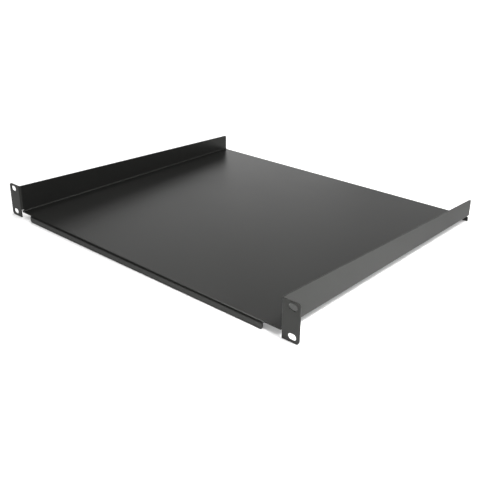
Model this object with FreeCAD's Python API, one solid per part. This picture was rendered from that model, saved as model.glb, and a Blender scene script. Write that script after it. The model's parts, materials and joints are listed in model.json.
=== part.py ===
"""Cantilever shelf, one rack unit high, folded from a single sheet of steel.

The blank is a rectangle with two wall flanges, two lip flanges and an ear on the
front end of each wall. Every flange is folded through 90 degrees:

    walls       up from the long sides of the deck, and lower towards the rear
    ears        outwards from the front edges of the walls, to bolt to the rack
    front lip   down from the deck's front edge, between two corner notches
    rear lip    down from the deck's rear edge, over almost the whole width

Frame, in millimetres: +X to the right, +Y towards the shelf's rear, +Z up. The
origin is the centre of the four slots, on the rear faces of the ears, which seat
against the rack's posts.
"""

import FreeCAD
import Part
import math
import os

# The sheet and its folds
sheet = 1.5                    # thickness
fold_radius = 1.2              # inside radius of the folds along the deck
ear_fold_radius = 1.5          # inside radius of the folds that turn the ears out
neutral_depth = 0.44           # neutral layer below the inside face, in thicknesses
relief = 0.8                   # width of the slits that part two folds at a corner

# The rack's interface, as the 19-inch standard gives it: 482.6 over the ears, and a
# height of one rack unit less the gap between panels
slot_pitch_across = 465.1      # from the slots of one post to those of the other
slot_pitch_up = 31.75          # from the lower to the upper slot of one ear
slot_length = 10.0             # end to end, across the rack
slot_width = 6.8               # up the post
slot_to_ear_end = 8.75         # from a slot's centre out to the ear's end
slot_to_ear_edge = 5.975       # from a slot's centre to the ear's upper or lower edge
slot_to_wall = 12.75           # from a slot's centre in to the wall's outer face
ear_corner_radius = 4.0        # outer corners of an ear

# The deck and its walls
wall_length = 393.0            # from the ears' rear faces to the walls' rear edges
deck_height = 8.6              # from an ear's lower end up to the deck's top face
wall_rear_height = 30.8        # from an ear's lower end up to a wall's rear corner
wall_corner_radius = 2.5       # upper rear corner of a wall

# The lips
front_lip_reach = 1.5          # how far it stands in front of the ears' front faces
front_lip_inset = 22.3         # from a wall's outer face in to the front lip's end
front_lip_drop = 8.6           # from the deck's top face down to its lower edge
front_lip_corner_radius = 3.0  # its lower corners
rear_lip_reach = 0.7           # how far it stands behind the walls' rear edges
rear_lip_inset = 0.8           # from a wall's outer face in to the rear lip's end
rear_lip_drop = 8.6            # from the deck's top face down to its lower edge
rear_lip_corner_radius = 1.0   # its lower corners

# Sections across the sheet
ear_end = slot_pitch_across / 2 + slot_to_ear_end
half_body = slot_pitch_across / 2 - slot_to_wall
fold_outside = fold_radius + sheet
ear_fold_outside = ear_fold_radius + sheet
half_deck = half_body - fold_outside

# Heights
ear_top = slot_pitch_up / 2 + slot_to_ear_edge
ear_bottom = -ear_top
deck_top = ear_bottom + deck_height
deck_bottom = deck_top - sheet
slit_bottom = deck_top + fold_radius
slit_top = slit_bottom + relief

# Depths. The notches at the front corners end where the front lip's fold begins.
front_lip_face = -sheet - front_lip_reach
notch_edge = front_lip_face + fold_outside
rear_lip_face = wall_length + rear_lip_reach
rear_fold_start = rear_lip_face - fold_outside

# The part of each ear below the deck is cut from the blank in front of the notch, a
# slit's width away from it. That cut falls inside the ear's fold, so this part keeps
# only an arc of it, or starts beyond the fold if the slit is wide.
ear_fold_allowance = math.pi / 2 * (ear_fold_radius + neutral_depth * sheet)
ear_flat_start = ear_fold_radius - ear_fold_allowance
tab_overlap = notch_edge - relief - ear_flat_start
tab_arc = 90.0 * max(0.0, min(tab_overlap / ear_fold_allowance, 1.0))
tab_setback = max(0.0, -tab_overlap)


def in_plan(u, v):
    """The point u across and v back, seen from above."""
    return FreeCAD.Vector(u, v, 0)


def in_front_view(u, v):
    """The point u across and v up, seen from the front."""
    return FreeCAD.Vector(u, 0, v)


def in_side_view(u, v):
    """The point u back and v up, seen from the side."""
    return FreeCAD.Vector(0, u, v)


def outline(corners, view):
    """A flat face with the given corners, each (u, v) or (u, v, radius), in one view."""
    spots = [view(corner[0], corner[1]) for corner in corners]
    runs = []
    arcs = []
    for index, corner in enumerate(corners):
        here = spots[index]
        radius = corner[2] if len(corner) == 3 else 0.0
        if radius == 0.0:
            runs.append((here, here))
            arcs.append(None)
            continue
        back = (spots[index - 1] - here).normalize()
        ahead = (spots[(index + 1) % len(spots)] - here).normalize()
        half_angle = back.getAngle(ahead) / 2
        start = here + back * (radius / math.tan(half_angle))
        end = here + ahead * (radius / math.tan(half_angle))
        bisector = (back + ahead).normalize()
        middle = here + bisector * (radius / math.sin(half_angle) - radius)
        runs.append((start, end))
        arcs.append(Part.Arc(start, middle, end).toShape())
    edges = []
    for index, arc in enumerate(arcs):
        if arc is not None:
            edges.append(arc)
        leave = runs[index][1]
        arrive = runs[(index + 1) % len(runs)][0]
        if leave.distanceToPoint(arrive) > Part.Precision.confusion():
            edges.append(Part.makeLine(leave, arrive))
    return Part.Face(Part.Wire(edges))


def across(corners, start, end):
    """A side-view outline drawn out across the shelf, from x = start to x = end."""
    face = outline(corners, in_side_view)
    face.translate(FreeCAD.Vector(start, 0, 0))
    return face.extrude(FreeCAD.Vector(end - start, 0, 0))


def backwards(corners, start, end):
    """A front-view outline drawn out towards the rear, from y = start to y = end."""
    face = outline(corners, in_front_view)
    face.translate(FreeCAD.Vector(0, start, 0))
    return face.extrude(FreeCAD.Vector(0, end - start, 0))


def fold_sector(centre_x, centre_y, angle, bottom, top):
    """The first part of an ear's fold, from its flat side, as an upright curved strip."""
    first = math.radians(270.0)
    last = math.radians(270.0 - angle)
    middle = (first + last) / 2
    centre = in_plan(centre_x, centre_y)

    def at(radius, turn):
        return centre + in_plan(radius * math.cos(turn), radius * math.sin(turn))

    outer = Part.Arc(at(ear_fold_outside, first), at(ear_fold_outside, middle), at(ear_fold_outside, last))
    inner = Part.Arc(at(ear_fold_radius, last), at(ear_fold_radius, middle), at(ear_fold_radius, first))
    edges = [
        outer.toShape(),
        Part.makeLine(at(ear_fold_outside, last), at(ear_fold_radius, last)),
        inner.toShape(),
        Part.makeLine(at(ear_fold_radius, first), at(ear_fold_outside, first)),
    ]
    strip = Part.Face(Part.Wire(edges))
    strip.translate(FreeCAD.Vector(0, 0, bottom))
    return strip.extrude(FreeCAD.Vector(0, 0, top - bottom))


def deck():
    """The flat deck between the four folds."""
    corner = FreeCAD.Vector(-half_deck, notch_edge, deck_bottom)
    return Part.makeBox(2 * half_deck, rear_fold_start - notch_edge, sheet, corner)


def right_wall():
    """The right wall and its fold, sloping to the rear, with a slit under the ear's fold."""
    section = [
        (half_deck, deck_bottom),
        (half_body, deck_bottom, fold_outside),
        (half_body, ear_top),
        (half_body - sheet, ear_top),
        (half_body - sheet, deck_top, fold_radius),
        (half_deck, deck_top),
    ]
    side = [
        (notch_edge, deck_bottom),
        (wall_length, deck_bottom),
        (wall_length, ear_bottom + wall_rear_height, wall_corner_radius),
        (ear_fold_radius, ear_top),
        (ear_fold_radius, slit_top),
        (ear_fold_radius + relief / 2, slit_top, relief / 2),
        (ear_fold_radius + relief / 2, slit_bottom, relief / 2),
        (notch_edge, slit_bottom),
    ]
    flange = backwards(section, notch_edge, wall_length)
    return flange.common(across(side, half_deck, half_body))


def slot(centre_x, centre_z):
    """The space of one bolt slot, through the ear."""
    half_length = slot_length / 2
    half_width = slot_width / 2
    corners = [
        (centre_x - half_length, centre_z - half_width, half_width),
        (centre_x + half_length, centre_z - half_width, half_width),
        (centre_x + half_length, centre_z + half_width, half_width),
        (centre_x - half_length, centre_z + half_width, half_width),
    ]
    return backwards(corners, -2 * sheet, sheet)


def right_ear():
    """The right ear with its slots, its fold above the slit and its tab below."""
    flat_start = half_body + ear_fold_radius
    plate = [
        (flat_start + tab_setback, ear_bottom),
        (ear_end, ear_bottom, ear_corner_radius),
        (ear_end, ear_top, ear_corner_radius),
        (flat_start, ear_top),
        (flat_start, slit_top),
        (flat_start + tab_setback, slit_top),
    ]
    if tab_setback == 0.0:
        plate = plate[:4]
    ear = backwards(plate, -sheet, 0)
    for side in (-1, 1):
        ear = ear.cut(slot(slot_pitch_across / 2, side * slot_pitch_up / 2))
    fold = fold_sector(flat_start, ear_fold_radius, 90.0, slit_top, ear_top)
    pieces = [fold]
    if tab_arc > 0.0:
        pieces.append(fold_sector(flat_start, ear_fold_radius, tab_arc, ear_bottom, slit_top))
    return ear.multiFuse(pieces)


def lip(face, start, drop, fold_half, lip_half, corner_radius):
    """A lip folded down from the deck, with its outer face at y = face.

    The fold starts at y = start and runs to x = fold_half on both sides. Below the
    fold the lip runs on to x = lip_half.
    """
    inward = sheet if start > face else -sheet
    lip_bottom = deck_top - drop
    fold_bottom = deck_top - fold_outside
    section = [
        (start, deck_top),
        (face, deck_top, fold_outside),
        (face, lip_bottom),
        (face + inward, lip_bottom),
        (face + inward, deck_bottom, fold_radius),
        (start, deck_bottom),
    ]
    front = [
        (-lip_half, lip_bottom, corner_radius),
        (lip_half, lip_bottom, corner_radius),
        (lip_half, fold_bottom),
        (fold_half, fold_bottom),
        (fold_half, deck_top),
        (-fold_half, deck_top),
        (-fold_half, fold_bottom),
        (-lip_half, fold_bottom),
    ]
    if fold_half == lip_half:
        front = front[:2] + front[4:6]
    bent = across(section, -lip_half, lip_half)
    return bent.common(backwards(front, min(start, face), max(start, face)))


def front_lip():
    """The front lip, between the notches at the front corners."""
    half_lip = half_body - front_lip_inset
    return lip(front_lip_face, notch_edge, front_lip_drop, half_lip, half_lip, front_lip_corner_radius)


def rear_lip():
    """The rear lip, whose fold stops a slit's width short of the walls' folds."""
    return lip(
        rear_lip_face,
        rear_fold_start,
        rear_lip_drop,
        half_deck - relief,
        half_body - rear_lip_inset,
        rear_lip_corner_radius,
    )


def mirrored(shape):
    """The shape's twin on the left side."""
    return shape.mirror(FreeCAD.Vector(0, 0, 0), FreeCAD.Vector(1, 0, 0))


def shelf():
    """The whole folded sheet, as one solid."""
    side = [right_wall(), right_ear()]
    pieces = side + [mirrored(piece) for piece in side] + [front_lip(), rear_lip()]
    return deck().multiFuse(pieces).removeSplitter()


os.makedirs("parts", exist_ok=True)
folded_sheet = shelf()
folded_sheet.Solids[0].exportStep("parts/folded_sheet.step")
print("solids", len(folded_sheet.Solids), "valid", folded_sheet.isValid())
print("volume", round(folded_sheet.Volume, 1), "faces", len(folded_sheet.Faces))
print("box", folded_sheet.BoundBox)
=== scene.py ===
"""Cantilever rack shelf, one rack unit high, folded from one sheet and powder coated.

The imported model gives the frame: metres, +X to the right, +Y to the shelf's rear and +Z
up, with the origin at the centre of the four slots, on the rear faces of the ears.
"""

import json
import logging
import math
from dataclasses import dataclass
from enum import Enum
from typing import Sequence

import bmesh
import bpy
from mathutils import Matrix, Vector


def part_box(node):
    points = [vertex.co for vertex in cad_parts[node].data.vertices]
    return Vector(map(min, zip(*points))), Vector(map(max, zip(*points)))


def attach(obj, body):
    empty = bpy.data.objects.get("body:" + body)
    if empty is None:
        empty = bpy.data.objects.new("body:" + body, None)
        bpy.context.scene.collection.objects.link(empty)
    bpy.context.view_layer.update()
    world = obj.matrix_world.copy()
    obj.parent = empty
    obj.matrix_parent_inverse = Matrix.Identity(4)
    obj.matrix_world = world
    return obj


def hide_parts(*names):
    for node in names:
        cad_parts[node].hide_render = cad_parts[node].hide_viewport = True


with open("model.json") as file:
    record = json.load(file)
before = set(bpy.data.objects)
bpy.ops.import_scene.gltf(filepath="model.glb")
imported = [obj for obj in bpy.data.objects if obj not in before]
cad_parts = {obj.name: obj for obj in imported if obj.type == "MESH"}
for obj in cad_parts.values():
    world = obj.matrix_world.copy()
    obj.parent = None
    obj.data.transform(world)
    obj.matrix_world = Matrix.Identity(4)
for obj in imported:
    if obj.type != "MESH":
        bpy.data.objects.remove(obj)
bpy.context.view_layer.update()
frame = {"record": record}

SHEET_NODE = "folded_sheet"
MERGE_DISTANCE = 1e-6
FLAT_ANGLE = math.radians(0.1)
MILLIMETRE = 0.001

log = logging.getLogger("rack_shelf")


# ---------------------------------------------------------------- the sheet and its plan


@dataclass(frozen=True)
class Stock:
    """The steel sheet, and how it is cut and folded."""

    thickness: float = 0.0015
    fold_radius: float = 0.0012
    ear_fold_radius: float = 0.0015
    neutral_depth: float = 0.44
    slit: float = 0.0008
    edge_round: float = 0.00025
    fold_steps: int = 10
    corner_steps: int = 8

    @property
    def fold_outside(self) -> float:
        """The outside radius of the folds along the deck."""
        return self.fold_radius + self.thickness


@dataclass(frozen=True)
class Plan:
    """Where the sheet's faces and folds are, on its upper side and on the right half.

    The upper side is the one that carries the equipment: the deck's top, the walls'
    inner faces, the ears' front faces and the lips' outer faces.
    """

    stock: Stock
    ear_end: float
    ear_top: float
    ear_bottom: float
    deck_top: float
    front_face: float
    rear_face: float
    slot_across: float
    slot_up: float
    slot_length: float
    slot_width: float
    wall_inset: float = 0.0215
    rear_wall_height: float = 0.0308
    rear_lip_reach: float = 0.0007

    @classmethod
    def from_frame(cls, stock: Stock) -> "Plan":
        """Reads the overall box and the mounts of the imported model.

        Args:
            stock: the sheet that the shelf is folded from.

        Returns:
            The plan that the sub-assemblies are laid out on.
        """
        low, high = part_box(SHEET_NODE)
        mounts = {mount["name"]: mount for mount in frame["record"]["mounts"]}
        slots = mounts["rack_slots"]["dims"]
        return cls(
            stock=stock,
            ear_end=high.x,
            ear_top=high.z,
            ear_bottom=low.z,
            deck_top=mounts["deck_top"]["pos_m"][2],
            front_face=low.y,
            rear_face=high.y,
            slot_across=slots["spacing_x_mm"] * MILLIMETRE / 2,
            slot_up=slots["spacing_y_mm"] * MILLIMETRE / 2,
            slot_length=slots["slot_length_mm"] * MILLIMETRE,
            slot_width=slots["hole_r_mm"] * MILLIMETRE * 2,
        )

    @property
    def wall_outer(self) -> float:
        """The right wall's outer face."""
        return self.ear_end - self.wall_inset

    @property
    def wall_inner(self) -> float:
        """The right wall's inner face."""
        return self.wall_outer - self.stock.thickness

    @property
    def deck_side(self) -> float:
        """Where the deck ends and the right wall's fold begins."""
        return self.wall_outer - self.stock.fold_outside

    @property
    def deck_front(self) -> float:
        """Where the front lip's fold begins, and the notches beside it end."""
        return self.front_face + self.stock.fold_outside

    @property
    def deck_rear(self) -> float:
        """Where the rear lip's fold begins."""
        return self.rear_face - self.stock.fold_outside

    @property
    def wall_rear(self) -> float:
        """The rear edge of the walls."""
        return self.rear_face - self.rear_lip_reach

    @property
    def slit_bottom(self) -> float:
        """The lower side of the slit that parts an ear's fold from the wall's fold."""
        return self.deck_top + self.stock.fold_radius

    @property
    def slit_top(self) -> float:
        """The upper side of that slit."""
        return self.slit_bottom + self.stock.slit


@dataclass(frozen=True)
class Corner:
    """A corner of a flat outline, rounded if it has a radius."""

    point: Vector
    radius: float = 0.0


class FlatSkin:
    """A bmesh for one sub-assembly, with the operations of a sheet-metal shop."""

    def __init__(self, stock: Stock) -> None:
        """Starts an empty skin.

        Args:
            stock: the sheet, for the number of steps in folds and corners.
        """
        self.stock = stock
        self.mesh = bmesh.new()

    def plate(self, corners: Sequence[Corner]) -> None:
        """Lays a flat face and rounds its corners.

        Args:
            corners: the outline in order.
        """
        verts = [self.mesh.verts.new(corner.point) for corner in corners]
        self.mesh.faces.new(verts)
        count = len(corners)
        for index, corner in enumerate(corners):
            if corner.radius == 0.0:
                continue
            back = corners[index - 1].point - corner.point
            ahead = corners[(index + 1) % count].point - corner.point
            bmesh.ops.bevel(
                self.mesh,
                geom=[verts[index]],
                offset=corner.radius / math.tan(back.angle(ahead) / 2),
                offset_type="OFFSET",
                affect="VERTICES",
                segments=self.stock.corner_steps,
                profile=0.5,
                material=-1,
            )

    def punch(self) -> None:
        """Refills the first plate so that every plate laid inside it becomes a hole."""
        bmesh.ops.delete(self.mesh, geom=self.mesh.faces[:], context="FACES_ONLY")
        bmesh.ops.remove_doubles(self.mesh, verts=self.mesh.verts[:], dist=MERGE_DISTANCE)
        bmesh.ops.triangle_fill(self.mesh, use_beauty=True, edges=self.mesh.edges[:])
        bmesh.ops.dissolve_limit(
            self.mesh, angle_limit=FLAT_ANGLE, verts=[], edges=self.mesh.edges[:]
        )

    def line(self, points: Sequence[Vector]) -> list[bmesh.types.BMEdge]:
        """Draws a chain of edges.

        Args:
            points: the chain's vertices in order.

        Returns:
            The edges in the same order.
        """
        verts = [self.mesh.verts.new(point) for point in points]
        return [self.mesh.edges.new(pair) for pair in zip(verts, verts[1:])]

    def edges_where(self, axis: int, level: float) -> list[bmesh.types.BMEdge]:
        """Finds the edges that lie at one level of an axis.

        Args:
            axis: 0, 1 or 2 for X, Y or Z.
            level: the coordinate on that axis.

        Returns:
            The edges with both ends there.
        """
        return [
            edge
            for edge in self.mesh.edges
            if all(abs(vert.co[axis] - level) < MERGE_DISTANCE for vert in edge.verts)
        ]

    def fold(
        self,
        edges: Sequence[bmesh.types.BMEdge],
        centre: Vector,
        axis: Vector,
        degrees: float,
        steps: int,
    ) -> list[bmesh.types.BMEdge]:
        """Turns edges about a fold's centre line, drawing the fold behind them.

        Args:
            edges: the edges on the fold's first tangent.
            centre: a point on the fold's centre line.
            axis: the direction of the centre line.
            degrees: the angle of the fold.
            steps: the number of facets in the fold.

        Returns:
            The edges on the fold's last tangent.
        """
        verts = {vert for edge in edges for vert in edge.verts}
        turned = bmesh.ops.spin(
            self.mesh,
            geom=[*verts, *edges],
            cent=centre,
            axis=axis,
            angle=math.radians(degrees),
            steps=steps,
            use_merge=False,
            use_duplicate=False,
        )
        return [item for item in turned["geom_last"] if isinstance(item, bmesh.types.BMEdge)]

    def cut(self, point: Vector, normal: Vector) -> None:
        """Divides the faces along a plane.

        Args:
            point: a point on the plane.
            normal: the plane's direction.
        """
        everything = [*self.mesh.verts, *self.mesh.edges, *self.mesh.faces]
        bmesh.ops.bisect_plane(
            self.mesh, geom=everything, plane_co=point, plane_no=normal, dist=MERGE_DISTANCE
        )

    def done(self, name: str) -> bpy.types.Mesh:
        """Turns the skin into a mesh.

        Args:
            name: the mesh's name.

        Returns:
            The mesh, which the whole sheet takes in.
        """
        result = bpy.data.meshes.new(name)
        self.mesh.to_mesh(result)
        self.mesh.free()
        return result


# ---------------------------------------------------------------- the sub-assemblies


@dataclass(frozen=True)
class Deck:
    """The flat deck between the four folds."""

    plan: Plan
    cuts: tuple[float, ...]

    def skin(self) -> bpy.types.Mesh:
        """Lays the right half, with a seam wherever a fold begins or ends.

        Returns:
            The deck's upper side.
        """
        plan = self.plan
        skin = FlatSkin(plan.stock)
        skin.plate(
            [
                Corner(Vector((0.0, plan.deck_front, plan.deck_top))),
                Corner(Vector((plan.deck_side, plan.deck_front, plan.deck_top))),
                Corner(Vector((plan.deck_side, plan.deck_rear, plan.deck_top))),
                Corner(Vector((0.0, plan.deck_rear, plan.deck_top))),
            ]
        )
        for across in self.cuts:
            skin.cut(Vector((across, 0.0, 0.0)), Vector((1.0, 0.0, 0.0)))
        skin.cut(Vector((0.0, plan.stock.ear_fold_radius, 0.0)), Vector((0.0, 1.0, 0.0)))
        return skin.done("deck")


@dataclass(frozen=True)
class Wall:
    """The right wall, its fold along the deck and the end of the slit under the ear."""

    plan: Plan
    rear_corner_radius: float = 0.0025

    def skin(self) -> bpy.types.Mesh:
        """Lays the wall, which slopes down to the rear, and folds it up from the deck.

        Returns:
            The wall's inner side, with its fold.
        """
        plan = self.plan
        stock = plan.stock
        side = plan.wall_inner
        front = stock.ear_fold_radius
        slit_end = front + stock.slit / 2
        rear_top = plan.ear_bottom + plan.rear_wall_height
        skin = FlatSkin(stock)
        skin.plate(
            [
                Corner(Vector((side, front, plan.slit_bottom))),
                Corner(Vector((side, plan.deck_rear, plan.slit_bottom))),
                Corner(Vector((side, plan.wall_rear, plan.slit_bottom))),
                Corner(Vector((side, plan.wall_rear, rear_top)), self.rear_corner_radius),
                Corner(Vector((side, front, plan.ear_top))),
                Corner(Vector((side, front, plan.slit_top))),
                Corner(Vector((side, slit_end, plan.slit_top)), stock.slit / 2),
                Corner(Vector((side, slit_end, plan.slit_bottom)), stock.slit / 2),
            ]
        )
        stops = (plan.deck_front, front, plan.deck_rear, plan.wall_rear)
        seam = skin.line([Vector((plan.deck_side, stop, plan.deck_top)) for stop in stops])
        skin.fold(
            seam,
            centre=Vector((plan.deck_side, 0.0, plan.slit_bottom)),
            axis=Vector((0.0, 1.0, 0.0)),
            degrees=-90.0,
            steps=stock.fold_steps,
        )
        return skin.done("wall")


@dataclass(frozen=True)
class Ear:
    """The right ear with its two slots, its fold and the tab below the slit."""

    plan: Plan
    corner_radius: float = 0.004
    tab_steps: int = 3

    @property
    def tab_angle(self) -> float:
        """How much of the fold the tab keeps below the slit, in degrees.

        The tab is cut from the blank a slit's width in front of the notch.
        """
        stock = self.plan.stock
        neutral_radius = stock.ear_fold_radius + stock.neutral_depth * stock.thickness
        allowance = math.pi / 2 * neutral_radius
        flat_start = stock.ear_fold_radius - allowance
        overlap = self.plan.deck_front - stock.slit - flat_start
        return 90.0 * overlap / allowance

    def skin(self) -> bpy.types.Mesh:
        """Lays the ear, punches its slots and folds it back to meet the wall.

        Returns:
            The ear's front side, with its fold and its tab.
        """
        plan = self.plan
        stock = plan.stock
        face = -stock.thickness
        inner = plan.wall_outer + stock.ear_fold_radius
        skin = FlatSkin(stock)
        skin.plate(
            [
                Corner(Vector((inner, face, plan.ear_bottom))),
                Corner(Vector((plan.ear_end, face, plan.ear_bottom)), self.corner_radius),
                Corner(Vector((plan.ear_end, face, plan.ear_top)), self.corner_radius),
                Corner(Vector((inner, face, plan.ear_top))),
                Corner(Vector((inner, face, plan.slit_top))),
            ]
        )
        for height in (-plan.slot_up, plan.slot_up):
            self.slot(skin, Vector((plan.slot_across, face, height)))
        skin.punch()
        upright = Vector((0.0, 0.0, 1.0))
        centre = Vector((inner, stock.ear_fold_radius, 0.0))
        angle = self.tab_angle
        bent = skin.fold(skin.edges_where(0, inner), centre, upright, -angle, self.tab_steps)
        above = [
            edge
            for edge in bent
            if all(vert.co.z > plan.slit_top - MERGE_DISTANCE for vert in edge.verts)
        ]
        skin.fold(above, centre, upright, angle - 90.0, stock.fold_steps - self.tab_steps + 1)
        return skin.done("ear")

    def slot(self, skin: FlatSkin, centre: Vector) -> None:
        """Marks out one slot with round ends.

        Args:
            skin: the ear's skin.
            centre: the slot's centre.
        """
        radius = self.plan.slot_width / 2
        across = Vector((self.plan.slot_length / 2, 0.0, 0.0))
        up = Vector((0.0, 0.0, radius))
        offsets = (-across - up, across - up, across + up, -across + up)
        skin.plate([Corner(centre + offset, radius) for offset in offsets])


class LipEnd(Enum):
    """The end of the deck that a lip hangs from, with the way it faces along Y."""

    FRONT = -1
    REAR = 1


@dataclass(frozen=True)
class Lip:
    """The right half of a lip folded down from the deck."""

    plan: Plan
    end: LipEnd
    fold_half: float
    lip_half: float
    corner_radius: float
    cuts: tuple[float, ...]
    drop: float = 0.0086

    def skin(self) -> bpy.types.Mesh:
        """Lays the lip's face and folds it from the deck's edge.

        Returns:
            The lip's outer side, with its fold.
        """
        plan = self.plan
        stock = plan.stock
        at_front = self.end is LipEnd.FRONT
        face = plan.front_face if at_front else plan.rear_face
        start = plan.deck_front if at_front else plan.deck_rear
        fold_bottom = plan.deck_top - stock.fold_outside
        bottom = plan.deck_top - self.drop
        stops = [0.0, *(cut for cut in self.cuts if cut < self.fold_half), self.fold_half]
        top = stops if self.fold_half == self.lip_half else [*stops, self.lip_half]
        skin = FlatSkin(stock)
        skin.plate(
            [
                *(Corner(Vector((across, face, fold_bottom))) for across in top),
                Corner(Vector((self.lip_half, face, bottom)), self.corner_radius),
                Corner(Vector((0.0, face, bottom))),
            ]
        )
        seam = skin.line([Vector((across, start, plan.deck_top)) for across in stops])
        skin.fold(
            seam,
            centre=Vector((0.0, start, fold_bottom)),
            axis=Vector((1.0, 0.0, 0.0)),
            degrees=90.0 if at_front else -90.0,
            steps=stock.fold_steps,
        )
        return skin.done(f"{self.end.name.lower()}_lip")


# ---------------------------------------------------------------- finishes


def new_socket(
    tree: bpy.types.NodeTree, name: str, direction: str, kind: str, value: float | None = None
) -> None:
    """Adds a named socket to a node group.

    Args:
        tree: the group.
        name: the socket's name.
        direction: INPUT or OUTPUT.
        kind: the socket's type, such as NodeSocketFloat.
        value: the default of an input.
    """
    socket = tree.interface.new_socket(name=name, in_out=direction, socket_type=kind)
    if value is not None:
        socket.default_value = value


@dataclass(frozen=True)
class CoatNoise:
    """One noise in the coat: its waves to the metre, its octaves and their roughness."""

    name: str
    scale: float
    detail: float
    roughness: float


@dataclass(frozen=True)
class CoatTexture:
    """The node group for a sprayed and baked coat: orange peel, fine grain and drift."""

    name: str = "coat_texture"
    peel: CoatNoise = CoatNoise("Peel", 700.0, 2.0, 0.45)
    grain: CoatNoise = CoatNoise("Grain", 3200.0, 1.0, 0.5)
    drift: CoatNoise = CoatNoise("Drift", 14.0, 3.0, 0.55)
    grain_in_height: float = 0.3

    def group(self) -> bpy.types.NodeTree:
        """Finds the group, or builds it the first time.

        Returns:
            The group that every coated piece shares.
        """
        existing = bpy.data.node_groups.get(self.name)
        return existing if existing is not None else self.build()

    def build(self) -> bpy.types.NodeTree:
        """Builds the group.

        Returns:
            A group that puts out the drift, the grain and the height of the peel.
        """
        tree = bpy.data.node_groups.new(self.name, "ShaderNodeTree")
        layers = (self.peel, self.grain, self.drift)
        new_socket(tree, "Vector", "INPUT", "NodeSocketVector")
        for layer in layers:
            new_socket(tree, f"{layer.name} Scale", "INPUT", "NodeSocketFloat", layer.scale)
        new_socket(tree, "Grain Share", "INPUT", "NodeSocketFloat", self.grain_in_height)
        for name in ("Drift", "Grain", "Height"):
            new_socket(tree, name, "OUTPUT", "NodeSocketFloat")
        nodes, links = tree.nodes, tree.links
        entry = nodes.new("NodeGroupInput")
        leave = nodes.new("NodeGroupOutput")
        noises = {}
        for layer in layers:
            noise = nodes.new("ShaderNodeTexNoise")
            noise.label = layer.name
            noise.inputs["Detail"].default_value = layer.detail
            noise.inputs["Roughness"].default_value = layer.roughness
            links.new(entry.outputs["Vector"], noise.inputs["Vector"])
            links.new(entry.outputs[f"{layer.name} Scale"], noise.inputs["Scale"])
            noises[layer.name] = noise
        blend = nodes.new("ShaderNodeMix")
        blend.data_type = "FLOAT"
        links.new(entry.outputs["Grain Share"], blend.inputs["Factor"])
        links.new(noises["Peel"].outputs["Fac"], blend.inputs["A"])
        links.new(noises["Grain"].outputs["Fac"], blend.inputs["B"])
        links.new(noises["Drift"].outputs["Fac"], leave.inputs["Drift"])
        links.new(noises["Grain"].outputs["Fac"], leave.inputs["Grain"])
        links.new(blend.outputs["Result"], leave.inputs["Height"])
        return tree


@dataclass(frozen=True)
class PowderCoat:
    """Satin black powder coat: near black, softly glossy, with a faint orange peel.

    Its fine grain makes small patches slightly paler and duller, and its gloss has a
    slight green cast.
    """

    dark: tuple[float, float, float] = (0.0085, 0.0085, 0.0082)
    light: tuple[float, float, float] = (0.0125, 0.0125, 0.0120)
    roughness_low: float = 0.31
    roughness_high: float = 0.35
    refraction: float = 1.5
    gloss_tint: tuple[float, float, float] = (0.98, 1.0, 0.945)
    mottle_low: float = 0.3
    mottle_high: float = 0.7
    grain_share: float = 0.35
    peel_depth: float = 0.000012

    def material(self) -> bpy.types.Material:
        """Builds the material.

        Returns:
            The coat, on Object coordinates.
        """
        material = bpy.data.materials.new("satin_black_powder_coat")
        material.use_nodes = True
        nodes, links = material.node_tree.nodes, material.node_tree.links
        shader = nodes["Principled BSDF"]
        shader.inputs["IOR"].default_value = self.refraction
        shader.inputs["Metallic"].default_value = 0.0
        shader.inputs["Specular Tint"].default_value = (*self.gloss_tint, 1.0)
        place = nodes.new("ShaderNodeTexCoord")
        texture = nodes.new("ShaderNodeGroup")
        texture.node_tree = CoatTexture().group()
        links.new(place.outputs["Object"], texture.inputs["Vector"])
        mottle = nodes.new("ShaderNodeMix")
        mottle.data_type = "FLOAT"
        mottle.inputs["Factor"].default_value = self.grain_share
        links.new(texture.outputs["Drift"], mottle.inputs["A"])
        links.new(texture.outputs["Grain"], mottle.inputs["B"])
        colour = nodes.new("ShaderNodeMix")
        colour.data_type = "RGBA"
        colour.inputs["A"].default_value = (*self.dark, 1.0)
        colour.inputs["B"].default_value = (*self.light, 1.0)
        links.new(mottle.outputs["Result"], colour.inputs["Factor"])
        links.new(colour.outputs["Result"], shader.inputs["Base Color"])
        gloss = nodes.new("ShaderNodeMapRange")
        gloss.inputs["From Min"].default_value = self.mottle_low
        gloss.inputs["From Max"].default_value = self.mottle_high
        gloss.inputs["To Min"].default_value = self.roughness_low
        gloss.inputs["To Max"].default_value = self.roughness_high
        links.new(mottle.outputs["Result"], gloss.inputs["Value"])
        links.new(gloss.outputs["Result"], shader.inputs["Roughness"])
        bump = nodes.new("ShaderNodeBump")
        bump.inputs["Strength"].default_value = 1.0
        bump.inputs["Distance"].default_value = self.peel_depth
        links.new(texture.outputs["Height"], bump.inputs["Height"])
        links.new(bump.outputs["Normal"], shader.inputs["Normal"])
        return material


# ---------------------------------------------------------------- the folded sheet


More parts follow.
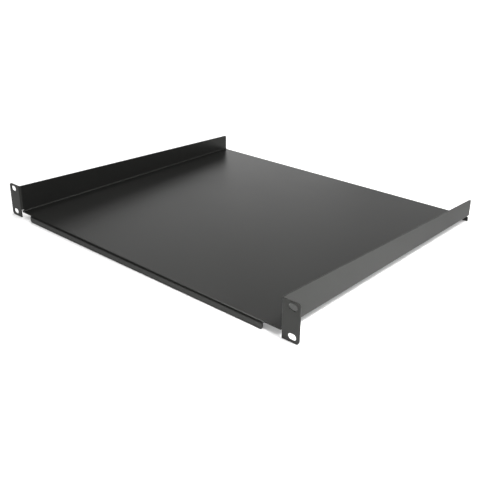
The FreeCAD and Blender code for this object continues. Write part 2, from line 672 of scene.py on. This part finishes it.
@dataclass(frozen=True)
class FoldedSheet:
    """The whole shelf: every sub-assembly joined in one sheet, given its thickness.

    Edges that turn by more than edge_angle, in degrees, are cut edges and are rounded.
    """

    plan: Plan
    coat: PowderCoat
    front_lip_inset: float = 0.0223
    front_lip_corner_radius: float = 0.003
    rear_lip_inset: float = 0.0008
    rear_lip_corner_radius: float = 0.001
    edge_segments: int = 2
    edge_angle: float = 40.0

    def parts(self) -> list[Deck | Wall | Ear | Lip]:
        """Lists the sub-assemblies of the right half.

        Returns:
            The deck, the wall, the ear and the two lips.
        """
        plan = self.plan
        front_half = plan.wall_outer - self.front_lip_inset
        rear_fold_half = plan.deck_side - plan.stock.slit
        rear_half = plan.wall_outer - self.rear_lip_inset
        cuts = (front_half, rear_fold_half)
        return [
            Deck(plan, cuts),
            Wall(plan),
            Ear(plan),
            Lip(plan, LipEnd.FRONT, front_half, front_half, self.front_lip_corner_radius, cuts),
            Lip(plan, LipEnd.REAR, rear_fold_half, rear_half, self.rear_lip_corner_radius, cuts),
        ]

    def skin(self) -> bpy.types.Mesh:
        """Joins the sub-assemblies and mirrors them to the left.

        Returns:
            One open mesh, the sheet's upper side.
        """
        whole = bmesh.new()
        for part in self.parts():
            piece = part.skin()
            log.info("%s: %d faces", piece.name, len(piece.polygons))
            whole.from_mesh(piece)
            bpy.data.meshes.remove(piece)
        bmesh.ops.remove_doubles(whole, verts=whole.verts[:], dist=MERGE_DISTANCE)
        bmesh.ops.mirror(
            whole,
            geom=[*whole.verts, *whole.edges, *whole.faces],
            matrix=Matrix.Identity(4),
            merge_dist=MERGE_DISTANCE,
            axis="X",
        )
        bmesh.ops.remove_doubles(whole, verts=whole.verts[:], dist=MERGE_DISTANCE)
        bmesh.ops.recalc_face_normals(whole, faces=whole.faces[:])
        largest = max(whole.faces, key=lambda face: face.calc_area())
        if largest.normal.z < 0.0:
            bmesh.ops.reverse_faces(whole, faces=whole.faces[:])
        for face in whole.faces:
            face.smooth = True
        mesh = bpy.data.meshes.new("shelf_sheet")
        whole.to_mesh(mesh)
        whole.free()
        return mesh

    def build(self) -> bpy.types.Object:
        """Makes the sheet, rounds its cut edges and coats it.

        Returns:
            The finished piece.
        """
        sheet = bpy.data.objects.new("shelf_sheet", self.skin())
        bpy.context.scene.collection.objects.link(sheet)
        thickness = sheet.modifiers.new("thickness", "SOLIDIFY")
        thickness.thickness = self.plan.stock.thickness
        thickness.offset = -1.0
        thickness.use_even_offset = True
        thickness.use_quality_normals = True
        edges = sheet.modifiers.new("cut_edges", "BEVEL")
        edges.width = self.plan.stock.edge_round
        edges.segments = self.edge_segments
        edges.limit_method = "ANGLE"
        edges.angle_limit = math.radians(self.edge_angle)
        edges.use_clamp_overlap = False
        shading = sheet.modifiers.new("even_shading", "WEIGHTED_NORMAL")
        shading.mode = "FACE_AREA"
        shading.weight = 50
        sheet.data.materials.append(self.coat.material())
        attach(sheet, "root")
        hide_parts(SHEET_NODE)
        return sheet


# ---------------------------------------------------------------- studio and camera


def combine(
    tree: bpy.types.NodeTree,
    operation: str,
    first: bpy.types.NodeSocket,
    second: bpy.types.NodeSocket | float,
) -> bpy.types.NodeSocket:
    """Puts two levels together in a Math node.

    Args:
        tree: the node tree.
        operation: the node's operation, such as MULTIPLY.
        first: the first level.
        second: the second level, or a constant.

    Returns:
        The node's output.
    """
    node = tree.nodes.new("ShaderNodeMath")
    node.operation = operation
    tree.links.new(first, node.inputs[0])
    if isinstance(second, float):
        node.inputs[1].default_value = second
    else:
        tree.links.new(second, node.inputs[1])
    return node.outputs[0]


@dataclass(frozen=True)
class Softbox:
    """A rectangular studio lamp that points at a place on the shelf or the floor.

    Its power is in watts and its spread in degrees.
    """

    name: str
    place: tuple[float, float, float]
    target: tuple[float, float, float]
    width: float
    height: float
    power: float
    spread: float = 180.0

    def hang(self) -> bpy.types.Object:
        """Adds the lamp to the scene.

        Returns:
            The lamp.
        """
        light = bpy.data.lights.new(self.name, "AREA")
        light.shape = "RECTANGLE"
        light.size = self.width
        light.size_y = self.height
        light.energy = self.power
        light.spread = math.radians(self.spread)
        lamp = bpy.data.objects.new(self.name, light)
        lamp.location = self.place
        aim = Vector(self.target) - Vector(self.place)
        lamp.rotation_euler = aim.to_track_quat("-Z", "Y").to_euler()
        lamp.visible_camera = False
        bpy.context.scene.collection.objects.link(lamp)
        return lamp


@dataclass(frozen=True)
class Surround:
    """The studio around the shelf: a white sweep, a dark gap above it and a pale ceiling.

    The sweep stands behind the shelf and on its right. The side where the camera stands
    is dimmer. The camera itself sees the surround white.
    """

    band: tuple[tuple[float, float], ...] = (
        (0.0, 1.0),
        (0.20, 1.0),
        (0.31, 0.92),
        (0.40, 0.46),
        (0.50, 0.08),
        (0.62, 0.06),
        (0.74, 0.60),
        (0.86, 0.45),
        (1.0, 0.10),
    )
    bright_side: tuple[float, float, float] = (0.50, 0.87, 0.0)
    dim_from: float = 0.15
    dim_to: float = -0.35
    dim_share: float = 0.15

    def side(self, tree: bpy.types.NodeTree, place: bpy.types.NodeSocket) -> bpy.types.NodeSocket:
        """Finds how bright the surround is on each side of the shelf.

        Args:
            tree: the world's node tree.
            place: the direction that is looked along.

        Returns:
            A socket that is 1 on the bright side and dim_share on the other.
        """
        nodes, links = tree.nodes, tree.links
        flat = nodes.new("ShaderNodeVectorMath")
        flat.operation = "MULTIPLY"
        flat.inputs[1].default_value = (1.0, 1.0, 0.0)
        links.new(place, flat.inputs[0])
        level = nodes.new("ShaderNodeVectorMath")
        level.operation = "NORMALIZE"
        links.new(flat.outputs[0], level.inputs[0])
        facing = nodes.new("ShaderNodeVectorMath")
        facing.operation = "DOT_PRODUCT"
        facing.inputs[1].default_value = self.bright_side
        links.new(level.outputs[0], facing.inputs[0])
        share = nodes.new("ShaderNodeMapRange")
        share.interpolation_type = "SMOOTHSTEP"
        share.inputs["From Min"].default_value = self.dim_to
        share.inputs["From Max"].default_value = self.dim_from
        share.inputs["To Min"].default_value = self.dim_share
        share.inputs["To Max"].default_value = 1.0
        links.new(facing.outputs["Value"], share.inputs["Value"])
        return share.outputs["Result"]

    def build(self) -> None:
        """Makes this the scene's world."""
        world = bpy.data.worlds.new("studio_surround")
        world.use_nodes = True
        tree = world.node_tree
        nodes, links = tree.nodes, tree.links
        nodes.clear()
        place = nodes.new("ShaderNodeTexCoord")
        parts = nodes.new("ShaderNodeSeparateXYZ")
        links.new(place.outputs["Generated"], parts.inputs[0])
        ramp = nodes.new("ShaderNodeValToRGB")
        stops = ramp.color_ramp.elements
        while len(stops) < len(self.band):
            stops.new(0.5)
        for stop, (height, level) in zip(stops, self.band):
            stop.position = height
            stop.color = (level, level, level, 1.0)
        links.new(parts.outputs["Z"], ramp.inputs["Fac"])
        side = self.side(tree, place.outputs["Generated"])
        studio = combine(tree, "MULTIPLY", ramp.outputs["Color"], side)
        path = nodes.new("ShaderNodeLightPath")
        level = combine(tree, "MAXIMUM", studio, path.outputs["Is Camera Ray"])
        sky = nodes.new("ShaderNodeBackground")
        links.new(level, sky.inputs["Strength"])
        sky.inputs["Color"].default_value = (1.0, 1.0, 1.0, 1.0)
        leave = nodes.new("ShaderNodeOutputWorld")
        links.new(sky.outputs[0], leave.inputs["Surface"])
        bpy.context.scene.world = world


@dataclass(frozen=True)
class Floor:
    """A plain pale floor that shows white and keeps the shelf's shadow.

    Its glow, for the rays that show the surround, makes up for the lamps' falloff: it
    is weaker in front of the shelf, where the lamps light the floor, than far away. For
    the camera it fades with the light that the shelf keeps off the floor close to it.
    """

    level: float
    half: float = 9.0
    colour: tuple[float, float, float] = (0.60, 0.60, 0.60)
    lit_place: tuple[float, float, float] = (0.25, -0.05, 0.0)
    near_glow: float = 0.60
    far_glow: float = 0.88
    near_reach: float = 0.28
    far_reach: float = 0.62
    reflected_share: float = 0.4
    shade_reach: float = 0.010

    def background_rays(self, tree: bpy.types.NodeTree) -> bpy.types.NodeSocket:
        """Finds the rays that show the surround: from the camera, a gloss or a glass.

        Args:
            tree: the node tree of the floor's material.

        Returns:
            A socket that is reflected_share for a gloss or a glass. For the camera it is
            the share of the surround that the shelf leaves open there.
        """
        path = tree.nodes.new("ShaderNodeLightPath")
        shade = tree.nodes.new("ShaderNodeAmbientOcclusion")
        shade.inputs["Distance"].default_value = self.shade_reach
        found = combine(tree, "MULTIPLY", path.outputs["Is Camera Ray"], shade.outputs["AO"])
        for kind in ("Is Glossy Ray", "Is Transmission Ray"):
            part = combine(tree, "MULTIPLY", path.outputs[kind], self.reflected_share)
            found = combine(tree, "MAXIMUM", found, part)
        return found

    def material(self) -> bpy.types.Material:
        """Builds the floor's material.

        Returns:
            A matt floor with its glow, clear from below.
        """
        material = bpy.data.materials.new("pale_floor")
        material.use_nodes = True
        tree = material.node_tree
        nodes, links = tree.nodes, tree.links
        nodes.clear()
        matt = nodes.new("ShaderNodeBsdfDiffuse")
        matt.inputs["Color"].default_value = (*self.colour, 1.0)
        place = nodes.new("ShaderNodeTexCoord")
        reach = nodes.new("ShaderNodeVectorMath")
        reach.operation = "DISTANCE"
        reach.inputs[1].default_value = self.lit_place
        links.new(place.outputs["Object"], reach.inputs[0])
        strength = nodes.new("ShaderNodeMapRange")
        strength.interpolation_type = "SMOOTHSTEP"
        strength.inputs["From Min"].default_value = self.near_reach
        strength.inputs["From Max"].default_value = self.far_reach
        strength.inputs["To Min"].default_value = self.near_glow
        strength.inputs["To Max"].default_value = self.far_glow
        links.new(reach.outputs["Value"], strength.inputs["Value"])
        rays = self.background_rays(tree)
        level = combine(tree, "MULTIPLY", strength.outputs["Result"], rays)
        glow = nodes.new("ShaderNodeEmission")
        links.new(level, glow.inputs["Strength"])
        both = nodes.new("ShaderNodeAddShader")
        links.new(matt.outputs[0], both.inputs[0])
        links.new(glow.outputs[0], both.inputs[1])
        side = nodes.new("ShaderNodeNewGeometry")
        clear = nodes.new("ShaderNodeBsdfTransparent")
        pick = nodes.new("ShaderNodeMixShader")
        links.new(side.outputs["Backfacing"], pick.inputs[0])
        links.new(both.outputs[0], pick.inputs[1])
        links.new(clear.outputs[0], pick.inputs[2])
        leave = nodes.new("ShaderNodeOutputMaterial")
        links.new(pick.outputs[0], leave.inputs["Surface"])
        return material

    def lay(self) -> bpy.types.Object:
        """Lays the floor under the shelf.

        Returns:
            The floor.
        """
        flat = bmesh.new()
        bmesh.ops.create_grid(flat, x_segments=1, y_segments=1, size=self.half)
        bmesh.ops.translate(flat, verts=flat.verts[:], vec=(0.0, 0.0, self.level))
        mesh = bpy.data.meshes.new("floor")
        flat.to_mesh(mesh)
        flat.free()
        mesh.materials.append(self.material())
        floor = bpy.data.objects.new("floor", mesh)
        bpy.context.scene.collection.objects.link(floor)
        return floor


@dataclass(frozen=True)
class Studio:
    """The floor, the surround and the soft lamps."""

    floor: Floor
    surround: Surround
    lamps: tuple[Softbox, ...] = (
        Softbox("rear_left_panel", (-2.75, 1.35, 0.42), (0.0, 0.195, 0.1), 4.4, 0.84, 11.5),
        Softbox("right_floor_light", (0.88, 0.10, 1.1), (0.54, 0.06, 0.0), 0.5, 0.8, 4.8, 52.0),
        Softbox("right_low_light", (1.25, 0.15, 0.30), (0.22, 0.18, -0.02), 0.8, 0.3, 1.6),
        Softbox("high_softbox", (-0.68, 0.48, 1.27), (0.15, 0.0, 0.0), 0.3, 0.3, 4.6),
        Softbox("rear_right_softbox", (0.30, 0.95, 1.15), (-0.21, 0.1, 0.0), 0.4, 0.4, 1.5),
    )

    def set_up(self) -> None:
        """Builds the studio, with colours shown as they are written."""
        self.floor.lay()
        self.surround.build()
        for lamp in self.lamps:
            lamp.hang()
        bpy.context.scene.view_settings.view_transform = "Standard"


@dataclass(frozen=True)
class ViewCamera:
    """The camera: its place, the way it looks and its lens.

    The angles are in degrees. The lens and the sensor are in millimetres.
    """

    place: tuple[float, float, float] = (0.5800, -0.4660, 0.34215)
    azimuth: float = 41.68
    elevation: float = 24.12
    roll: float = 0.59
    lens: float = 53.88
    sensor: float = 36.0
    clip_start: float = 0.01

    def set_up(self) -> bpy.types.Object:
        """Makes this the scene's camera.

        Returns:
            The camera.
        """
        turn, tilt = math.radians(self.azimuth), math.radians(self.elevation)
        forward = Vector(
            (-math.sin(turn) * math.cos(tilt), math.cos(turn) * math.cos(tilt), -math.sin(tilt))
        )
        level = Vector((math.cos(turn), math.sin(turn), 0.0))
        rolled = Matrix.Rotation(math.radians(-self.roll), 3, forward)
        right = rolled @ level
        above = right.cross(forward)
        data = bpy.data.cameras.new("view_camera")
        data.sensor_width = self.sensor
        data.lens = self.lens
        data.clip_start = self.clip_start
        camera = bpy.data.objects.new("view_camera", data)
        rotation = Matrix((right, above, -forward)).transposed().to_4x4()
        camera.matrix_world = Matrix.Translation(self.place) @ rotation
        bpy.context.scene.collection.objects.link(camera)
        bpy.context.scene.camera = camera
        return camera


def main() -> None:
    """Builds the shelf, the studio and the camera."""
    logging.basicConfig(level=logging.INFO, format="%(name)s: %(message)s")
    plan = Plan.from_frame(Stock())
    sheet = FoldedSheet(plan, PowderCoat()).build()
    log.info("%s rides on root", sheet.name)
    Studio(Floor(level=plan.ear_bottom), Surround()).set_up()
    ViewCamera().set_up()


if __name__ == "__main__":
    main()
